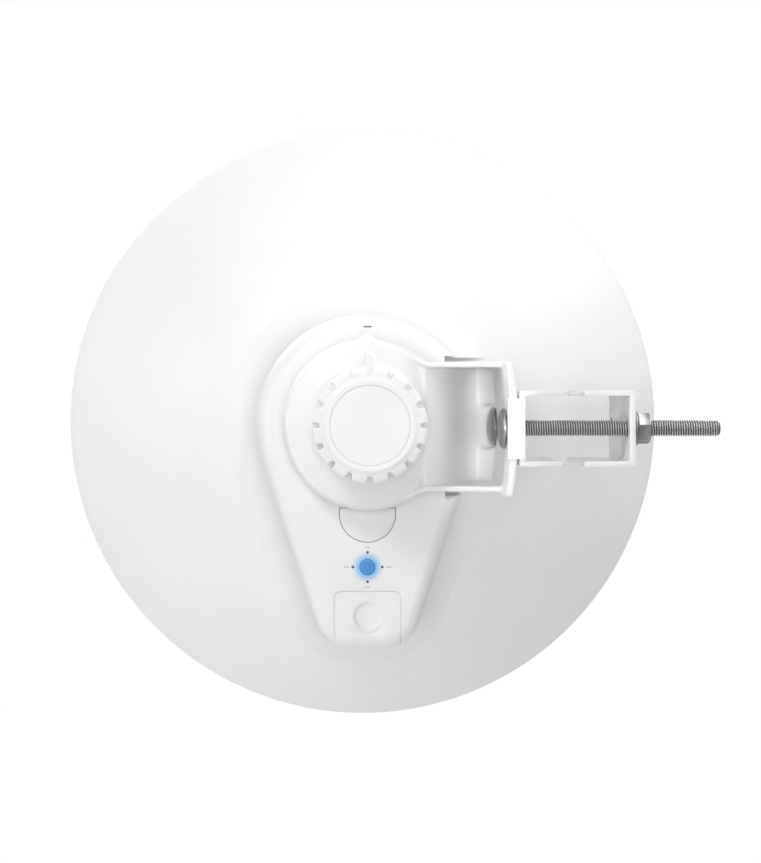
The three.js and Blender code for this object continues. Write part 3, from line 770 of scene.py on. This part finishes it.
def build_marks():
    """Status lens, its four small indicator dots, and a plain tick beside each."""
    y = POD_Y
    lens_profile = [(0, y - 0.25), (LIGHT_R * 0.6, y - 0.2), (LIGHT_R - 0.3, y + 0.05),
                    (LIGHT_R - 0.05, y + 0.4), (LIGHT_R - 0.05, y + 6), (0, y + 6)]
    lens = revolve("status_lens", fillet(lens_profile, [0, 1, 0.3, 0.2, 0, 0], 5, False), z=LIGHT_Z, steps=64)
    finish_piece(lens, "dish", "status_light", "light_pipe")
    ticks = {"up": (0, 1), "down": (0, -1), "left": (-1, 0), "right": (1, 0)}
    for name, (dx, dz) in ticks.items():
        x, z = DISH_X + dx * 9.3, LIGHT_Z + dz * 9.3
        button = [(0, y - 0.12), (0.75, y - 0.12), (0.95, y + 0.05), (0.95, y + 0.3), (0, y + 0.3)]
        dot = revolve("dot_" + name, button, x=x, z=z, steps=24)
        finish_piece(dot, "dish", "status_light", material="blue_ink")
        x, z = DISH_X + dx * 13.4, LIGHT_Z + dz * 12.6
        tick = prism("tick_" + name, rectangle(x - 1.7, x + 1.7, z - 0.32, z + 0.32), "Y", y - 0.03, y + 0.2)
        finish_piece(tick, "dish", "grey_ink", material="pale_ink")
    low, high = corners("index_mark")
    e = edge_radius(70)
    sunk = 1 - (POD_UPPER - (high[2] - DISH_Z - POD_UPPER_Z)) / e
    dome = y + e * (1 - math.sqrt(1 - sunk * sunk))
    dash = fillet(rectangle(low[0], high[0], low[2], high[2]), 0.3)
    mark = prism("index_dash", dash, "Y", dome - 0.4, dome + 0.6)
    finish_piece(mark, "dish", "grey_ink", "index_mark")


# ---- arm ----
def strap_path(shift, steps=60):
    """Smooth curve of the arm's strap from the cup to the clamp wall, moved sideways by shift."""
    keys = [(-92, -22), (-85.5, -19), (-79, -12), (-74, -2), (-70, 10), (-66.5, 22), (-62, 34), (-55, 43),
            (-47, FLOOR_Y), (WALL_INNER + 1.6, FLOOR_Y)]
    keys = [np.array(k, float) for k in keys]
    points = []
    for i in range(steps + 1):
        place = i / steps * (len(keys) - 1)
        j = min(int(place), len(keys) - 2)
        t = place - j
        p0, p3 = keys[max(j - 1, 0)], keys[min(j + 2, len(keys) - 1)]
        p1, p2 = keys[j], keys[j + 1]
        point = 0.5 * ((2 * p1) + (p2 - p0) * t + (2 * p0 - 5 * p1 + 4 * p2 - p3) * t ** 2
                       + (3 * p1 - p0 - 3 * p2 + p3) * t ** 3)
        slope = 0.5 * ((p2 - p0) + 2 * (2 * p0 - 5 * p1 + 4 * p2 - p3) * t
                       + 3 * (3 * p1 - p0 - 3 * p2 + p3) * t ** 2)
        slope = slope / max(np.linalg.norm(slope), 1e-9)
        points.append((point[0] - slope[1] * shift, point[1] + slope[0] * shift))
    return points


def arm_outline(inset):
    """Outline of the arm seen from behind, narrowing from the cup to the wall."""
    start, end = DISH_X + 10, -89.0
    sides = []
    for sign, limit in ((1, ARM_TOP), (-1, ARM_BOTTOM)):
        ring = DISH_Z + sign * (CUP_RIM - 1.5)
        side = []
        for part in np.linspace(0, 1, 24):
            z = ring + (limit - ring) * smoothstep(part) - sign * inset
            side.append((start + (end - start) * part, z))
        side.append((WALL_INNER + 1, limit - sign * inset))
        sides.append(side)
    return sides[0] + sides[1][::-1]


def cup_profile():
    """Profile of the ball cup: dome, flat, lip and inner ball seat."""
    outer = [(CUP_OUTER * math.sin(t), BALL_Y - CUP_OUTER * math.cos(t))
             for t in np.linspace(math.asin(TILT_HOLE / CUP_OUTER), math.asin(CUP_FLAT / CUP_OUTER), 24)]
    flat_y = outer[-1][1]
    lip_r = CUP_RIM - 4.5
    lip_y = flat_y + (lip_r - CUP_FLAT) * 0.325
    lip = [(CUP_FLAT, flat_y), (lip_r + 2.2, lip_y + 0.4), (CUP_RIM, lip_y + 5.5), (CUP_RIM, -3), (50, -3)]
    lip = fillet(lip, [0, 3.5, 3.0, 0.8, 0.4], 8, False)
    inner = [(CUP_INNER * math.sin(t), BALL_Y - CUP_INNER * math.cos(t))
             for t in np.linspace(math.asin(49 / CUP_INNER), math.asin(TILT_HOLE / CUP_INNER), 24)]
    return outer + lip[1:] + inner


def cup_peak(r, y, turn):
    """Draws the ring's outer edge up to a soft point above the knob."""
    away = abs(math.degrees(turn) - 90)
    return r + 4.2 * max(0, 1 - away / 9) ** 1.5 * smoothstep((r - 47) / 6)


def corner_fill(z0, z1):
    """Deep cast fillet between the strap's floor and the clamp wall."""
    r = 20
    cx, cy = WALL_INNER - r, FLOOR_Y - r
    bend = [(cx + r * math.cos(t), cy + r * math.sin(t)) for t in np.linspace(0, math.pi / 2, 14)]
    outline = [(WALL_INNER + 1, cy)] + bend + [(cx, FLOOR_Y + 1), (WALL_INNER + 1, FLOOR_Y + 1)]
    return prism("corner_fill", outline, "Z", z0, z1)


def curved_wall():
    """Clamp wall at the end of the arm, bowed so that its ends lean back towards the dish axis."""
    rows = []
    for z in np.linspace(-41.5, ARM_TOP, 25):
        bow = 3.4 * (z / ARM_TOP) ** 2
        inside, outside = WALL_INNER - bow * 0.8, WALL_OUTER - bow
        near, far = -43, FLOOR_Y + ARM_PLATE
        section = [(inside, far - 4), (inside, near + 7), (inside + 2.6, near), (outside - 0.8, near),
                   (outside, near + 0.8), (outside, far - 3), (outside - 3, far), (inside - 3, far)]
        rows.append([(x, y, z) for x, y in section])
    count = len(rows[0])
    points = [p for row in rows for p in row]
    faces = [tuple(range(count)), tuple(range(len(points) - 1, len(points) - count - 1, -1))]
    for j in range(len(rows) - 1):
        for k in range(count):
            n = (k + 1) % count
            faces.append((j * count + k, j * count + n, (j + 1) * count + n, (j + 1) * count + k))
    return make("wall", points, faces)


def build_arm():
    """Cup, strap, side lips, clamp wall and pointer rib, joined and softened as one casting."""
    front = strap_path(0)
    sheet = [(-94, -21)] + front + strap_path(ARM_PLATE)[::-1] + [(-94, -15)]
    strap = prism("arm_casting", sheet, "Z", -70, 70)
    combine(strap, prism("keep", arm_outline(0), "Y", -60, 60), "INTERSECT")
    mouth = [(WALL_INNER + 1, -36), (-60, -35), (-74, -31), (-88, -25), (-103, -20), (-103, -14), (-90, -14)]
    side = strap_path(ARM_PLATE / 2)[:-1] + [(WALL_INNER + 1.2, FLOOR_Y + 1.7)] + mouth
    lips = prism("lips", side, "Z", -70, 70)
    combine(lips, prism("lip_keep", arm_outline(0), "Y", -60, 60), "INTERSECT")
    combine(lips, prism("lip_cut", arm_outline(ARM_PLATE), "Y", -61, 61))
    plate = curved_wall()
    cup = revolve("cup", cup_profile(), steps=192, shape=cup_peak)
    trim = prism("trim", [(-92, -60)] + front + [(-36, FLOOR_Y), (-36, -60)], "Z", -70, 70)
    combine(trim, prism("trim_keep", arm_outline(ARM_PLATE), "Y", -61, 61), "INTERSECT")
    combine(cup, trim)
    for z0, z1 in ((14, ARM_TOP - 2), (ARM_BOTTOM + 2, -14)):
        combine(strap, corner_fill(z0, z1), "UNION")
    for part in (lips, plate, cup):
        combine(strap, part, "UNION")
    combine(strap, hub_envelope("seat", CUP_INNER))
    pointer = [(DISH_X - 4.2, 35), (DISH_X + 4.2, 35), (DISH_X + 1.9, 46.5), (DISH_X - 1.9, 46.5)]
    combine(strap, prism("rib", pointer, "Y", -24.3, -17), "UNION")
    cast_skin(strap, 0.8, 7, 45)
    half = NECK_HALF + 0.4
    for y in (-BOLT_Y, BOLT_Y):
        combine(strap, block("neck_hole", WALL_INNER - 2, WALL_OUTER + 2, y - half, y + half, -half, half))
    finish_piece(strap, "bracket", "arm_white", "arm")


# ---- knob ----
def notch_depth(turn):
    """1 in the middle of a grip notch and 0 between notches."""
    step = 2 * math.pi / NOTCHES
    away = abs((turn / step - 0.5) % 1.0 - 0.5) * step * KNOB_R
    return 1 - smoothstep((away - 1.1) / 1.3)


def knob_radius(r, y, turn):
    """Cuts the grip notches into the knob's edge."""
    if r <= NOTCH_FLOOR or y > KNOB_SKIRT - 1.2:
        return r
    return r - (r - NOTCH_FLOOR) * notch_depth(turn)


def build_knob():
    """Fluted knob and the disc in its middle."""
    base = -42.3
    wall = [(KNOB_R, y) for y in np.linspace(KNOB_SKIRT - 0.6, KNOB_FACE + 5.5, 16)]
    crown = [(KNOB_R, KNOB_FACE + 5.5), (KNOB_R, KNOB_FACE + 3.0), (KNOB_R - 2.2, KNOB_FACE + 1.7),
             (29.5, KNOB_FACE + 1.0), (27.2, KNOB_FACE), (24.6, KNOB_FACE), (24.4, KNOB_FACE + 0.6),
             (22.6, KNOB_FACE + 0.7), (22.6, KNOB_FACE + 3)]
    crown = fillet(crown, [0, 2.0, 1.6, 1.6, 1.6, 0.25, 0, 0, 0], 7, False)
    profile = [(6.3, base), (29, base), (29, KNOB_SKIRT + 0.3), (29.3, KNOB_SKIRT),
               (KNOB_R - 0.6, KNOB_SKIRT)]
    profile += wall + crown[1:] + [(6.3, KNOB_FACE + 3)]
    knob = revolve("fluted_knob", profile, steps=NOTCHES * 30, crease=38, shape=knob_radius)
    finish_piece(knob, "knob", "knob_white", "clamp_knob")
    face = KNOB_FACE + 0.15
    cap = [(0, face + 0.35), (CAP_R * 0.5, face + 0.25), (CAP_R - 0.5, face), (CAP_R, face + 0.3),
           (CAP_R, face + 0.45), (22.3, face + 0.5), (22.3, face + 2.4), (0, face + 2.4)]
    disc = revolve("knob_disc", fillet(cap, [0, 8, 0.3, 0.2, 0, 0, 0, 0], 6, False), steps=160)
    finish_piece(disc, "knob", "knob_white", "knob_cap")


# ---- clamp ----
def jaw_channel(name, web_out, web_in, tip, outer, inner, half):
    """Formed channel whose two flanges carry a V for the mast."""
    side = 1 if tip > web_out else -1
    bend = abs(web_out - web_in)
    section = [(web_out, -outer), (tip, -outer), (tip, -inner), (web_in, -inner),
               (web_in, inner), (tip, inner), (tip, outer), (web_out, outer)]
    section = fillet(section, [bend * 0.7, 1.3, 1.3, 0.8, 0.8, 1.3, 1.3, bend * 0.7], 6)
    channel = prism(name, section, "Y", -half, half)
    touch = MAST_R / math.sqrt(2)
    root_x = -side * (MAST_R + 2.5)
    root = max(2 * touch - abs(root_x), 6)
    past = tip + side * 4
    mouth = touch + abs(touch + side * past)
    notch = fillet([(root_x, -root), (root_x, root), (past, mouth), (past, -mouth)], [1.5, 1.5, 0, 0], 5)
    combine(channel, prism("notch", notch, "Z", -outer - 5, outer + 5))
    corner = [(tip - side * 4, half + 1), (tip + side, half + 1), (tip + side, half - 4)]
    combine(channel, prism("corner_a", corner, "Z", -outer - 5, outer + 5))
    combine(channel, prism("corner_b", [(x, -y) for x, y in corner], "Z", -outer - 5, outer + 5))
    for y in (-BOLT_Y, BOLT_Y):
        combine(channel, revolve_x("hole", rectangle(0, 5.6, web_out - 6, web_out + 6), y, 0, 48))
    return channel


def build_jaws():
    """Fixed jaw with its keeper lip, and the moving jaw."""
    low, high = corners("fixed_jaw")
    web_out = WALL_OUTER + 0.3
    jaw = jaw_channel("fixed_clamp_jaw", web_out, web_out + 3.2, high[0], high[2], 20, high[1])
    web_in = web_out + 3.2
    lip = fillet(rectangle(low[0], web_in, -18.5, 18.5), 0.8)
    combine(jaw, prism("keeper_lip", lip, "Y", low[1], -43.3), "UNION")
    combine(jaw, block("link", web_out, web_in, low[1], -42, -18.5, 18.5), "UNION")
    bevel(jaw, 0.35, 2, 50)
    finish_piece(jaw, "bracket", "jaw_white", "fixed_jaw")
    low, high = corners("moving_jaw")
    jaw = jaw_channel("moving_clamp_jaw", high[0], high[0] - 3.7, low[0], high[2], 20, high[1])
    bevel(jaw, 0.35, 2, 50)
    finish_piece(jaw, "jaw", "jaw_white", "moving_jaw")


def threaded_rod(name, x0, x1, y, z, radius, pitch):
    """Rod with a true helical thread along X."""
    sides, per_turn = 40, 8
    rows = int((x1 - x0) / pitch * per_turn)
    points, faces = [], []
    for j in range(rows + 1):
        x = x0 + (x1 - x0) * j / rows
        fade = min((x - x0) / 2, (x1 - x) / 1.6, 1.0)
        for k in range(sides):
            turn = 2 * math.pi * k / sides
            phase = (x / pitch - k / sides) % 1.0
            ridge = min(max(1.35 * (1 - abs(2 * phase - 1)) - 0.12, 0), 1)
            root = THREAD_DEPTH * (1 - ridge * max(fade, 0))
            r = radius - root - 0.5 * (1 - min((x1 - x) / 1.5, 1))
            points.append((x, y + r * math.cos(turn), z + r * math.sin(turn)))
    for j in range(rows):
        for k in range(sides):
            n = (k + 1) % sides
            faces.append((j * sides + k, j * sides + n, (j + 1) * sides + n, (j + 1) * sides + k))
    faces.append(tuple(range(sides)))
    faces.append(tuple(range(rows * sides + sides - 1, rows * sides - 1, -1)))
    return make(name, points, faces, 75)


def join(obj, other):
    """Adds other's mesh to obj, so that the two are one piece."""
    bm = bmesh.new()
    bm.from_mesh(obj.data)
    bm.from_mesh(other.data)
    bm.to_mesh(obj.data)
    bm.free()
    bpy.data.objects.remove(other)
    return obj


def build_fasteners():
    """Carriage bolts with threaded rods, and their nuts."""
    for side in ("near", "far"):
        low, high = corners("carriage_bolt_" + side)
        y = (low[1] + high[1]) / 2
        head_r = (high[1] - low[1]) / 2
        top, under = max(low[0], HEAD_TOP), HEAD_UNDER
        edge = under - 0.7
        dome = [(head_r * math.sin(t), edge - (edge - top) * math.cos(t))
                for t in np.linspace(0, math.pi / 2, 24)]
        foot = [dome[-1], (head_r, under - 0.1), (head_r - 0.5, under), (5, under), (0, under)]
        rim = fillet(foot, [0, 0.3, 0.2, 0, 0], 4, False)
        bolt = revolve_x("bolt_" + side, dome + rim[1:], y, 0, 72)
        neck = block("neck", under - 0.4, under + 6.5, y - NECK_HALF, y + NECK_HALF, -NECK_HALF, NECK_HALF)
        join(bolt, bevel(neck, 0.5, 2))
        finish_piece(bolt, "bracket", "fastener_steel", "carriage_bolt_" + side)
        drop = 0.35 if side == "far" else 0.0
        rod = threaded_rod("rod_" + side, under + 6, high[0], y, -drop, ROD_R - drop, THREAD_PITCH)
        finish_piece(rod, "bracket", "fastener_steel", material="thread_steel")
        build_nut(side, y)


def build_nut(side, y):
    """Flange nut with a chamfered hexagon."""
    low, high = corners("flange_nut_" + side)
    seat, end = low[0], high[0]
    bore = NUT_BORE_R
    flange_r = (high[2] - low[2]) / 2
    across = HEX_FLATS / 2 / math.cos(math.pi / 6)
    body = [(bore + 0.6, seat), (flange_r - 0.3, seat), (flange_r, seat + 0.4), (flange_r - 0.3, seat + 1.0),
            (across + 0.2, seat + 2.1), (across + 0.1, seat + 2.4), (across, end - 0.7), (8.7, end),
            (bore + 0.7, end), (bore, end - 0.7), (bore, seat + 0.6)]
    nut = revolve_x("nut_" + side, fillet(body, 0.2, 3), y, 0, 96)
    turn = math.radians(HEX_TURN)
    turns = [turn + k * math.pi / 3 for k in range(6)]
    hexagon = [(y + across * math.cos(t), across * math.sin(t)) for t in turns]
    around = prism("hex", hexagon, "X", seat + 2.2, end + 1)
    rim = flange_r + 1
    skirt = revolve_x("skirt", [(0, seat - 1), (rim, seat - 1), (rim, seat + 2.25), (0, seat + 2.25)], y,
                      0, 96)
    combine(around, skirt, "UNION")
    combine(nut, around, "INTERSECT", 30)
    bevel(nut, 0.15, 2, 30)
    finish_piece(nut, "nut_" + side, "fastener_steel", "flange_nut_" + side)


# ---- stage ----
# name, place in metres, size in metres, power in watts; the last two light the dish's front
AREA_LIGHTS = [
    ("front", (-0.14, -2.5, 0.06), 1.1, 19.0),
    ("key", (-0.93, -1.31, 1.08), 0.5, 9.5),
    ("overhead", (-0.12, -0.69, 1.43), 1.0, 4.2),
    ("left", (-1.64, -0.43, 0.23), 0.7, 5.6),
    ("upper_right", (0.96, -0.14, 1.16), 1.1, 14.0),
    ("dish_side", (-1.15, 1.5, 1.25), 0.7, 30.0),
    ("dish_fill", (0.9, 2.2, 0.3), 1.2, 10.0),
]


def area_light(name, place, target, size, power):
    """Soft round light aimed at target."""
    data = bpy.data.lights.new(name, "AREA")
    data.shape = "DISK"
    data.size = size
    data.energy = power
    lamp = bpy.data.objects.new(name, data)
    lamp.location = place
    lamp.rotation_euler = (Vector(target) - Vector(place)).to_track_quat("-Z", "Y").to_euler()
    bpy.context.scene.collection.objects.link(lamp)


def snoot(name, place, reach, half_width, half_height, power):
    """Narrow soft-edged beam along Y that fills a deep hollow."""
    data = bpy.data.lights.new(name, "SPOT")
    data.energy = power
    data.spot_size = 2 * math.atan(half_height / reach)
    data.spot_blend = 0.6
    data.shadow_soft_size = 0.03
    lamp = bpy.data.objects.new(name, data)
    lamp.location = place
    lamp.rotation_euler = (math.radians(90), 0, 0)
    lamp.scale = (half_width / half_height, 1, 1)
    bpy.context.scene.collection.objects.link(lamp)


def build_world():
    """Even studio surround, a little dimmer below, and plain white where the camera sees past the object."""
    world = bpy.data.worlds.new("studio")
    bpy.context.scene.world = world
    world.use_nodes = True
    tree = world.node_tree
    tree.nodes.clear()
    place = tree.nodes.new("ShaderNodeTexCoord")
    split = tree.nodes.new("ShaderNodeSeparateXYZ")
    ramp = tree.nodes.new("ShaderNodeValToRGB")
    ramp.color_ramp.elements[0].position = 0.0
    ramp.color_ramp.elements[0].color = (0.8, 0.8, 0.805, 1)
    ramp.color_ramp.elements[1].position = 1.0
    ramp.color_ramp.elements[1].color = (1, 1, 1, 1)
    span = tree.nodes.new("ShaderNodeMapRange")
    span.inputs["From Min"].default_value = -1.0
    span.inputs["From Max"].default_value = 1.0
    soft = tree.nodes.new("ShaderNodeBackground")
    clear = tree.nodes.new("ShaderNodeBackground")
    clear.inputs["Color"].default_value = (1, 1, 1, 1)
    path = tree.nodes.new("ShaderNodeLightPath")
    mix = tree.nodes.new("ShaderNodeMixShader")
    out = tree.nodes.new("ShaderNodeOutputWorld")
    links = tree.links
    links.new(place.outputs["Generated"], split.inputs["Vector"])
    links.new(split.outputs["Z"], span.inputs["Value"])
    links.new(span.outputs["Result"], ramp.inputs["Fac"])
    links.new(ramp.outputs["Color"], soft.inputs["Color"])
    soft.inputs["Strength"].default_value = 0.25
    links.new(path.outputs["Is Camera Ray"], mix.inputs["Fac"])
    links.new(soft.outputs["Background"], mix.inputs[1])
    links.new(clear.outputs["Background"], mix.inputs[2])
    links.new(mix.outputs["Shader"], out.inputs["Surface"])


def build_stage():
    """Floor, surround and lights."""
    floor = revolve("floor", [(0, 0), (1950, 0), (1950, -10), (0, -10)], x=0, z=0, steps=96)
    floor.data.materials.append(soft_matter("floor_pale", (0.8, 0.8, 0.8), 0.8, 0.004))
    for vertex in floor.data.vertices:
        x, y, z = vertex.co
        vertex.co = (x, z, -1.0 + y)
    build_world()
    middle = (-0.12, 0.03, 0.0)
    for name, place, size, power in AREA_LIGHTS:
        area_light(name, place, middle, size, power)
    snoot("arm_hollow", (-0.059, -1.2, 0.001), 1.24, 0.0205, 0.047, 34.0)
    scene = bpy.context.scene
    scene.view_settings.view_transform = "Standard"
    scene.view_settings.look = "None"


def build_camera():
    """Level camera behind the dish, a little to the left of the mast and above the clamp."""
    data = bpy.data.cameras.new("camera")
    data.sensor_fit = "VERTICAL"
    data.sensor_height = 36
    data.lens = 81.26
    data.shift_x = 0.0701
    data.shift_y = -0.0423
    data.dof.use_dof = False
    camera = bpy.data.objects.new("camera", data)
    camera.location = (-0.1571, -1.228, 0.0205)
    camera.rotation_euler = (math.radians(90), 0, 0)
    bpy.context.scene.collection.objects.link(camera)
    bpy.context.scene.camera = camera


build_camera()
dress_cad_nodes()
build_dish()
build_pod()
build_arm()
build_knob()
build_jaws()
build_fasteners()
build_stage()
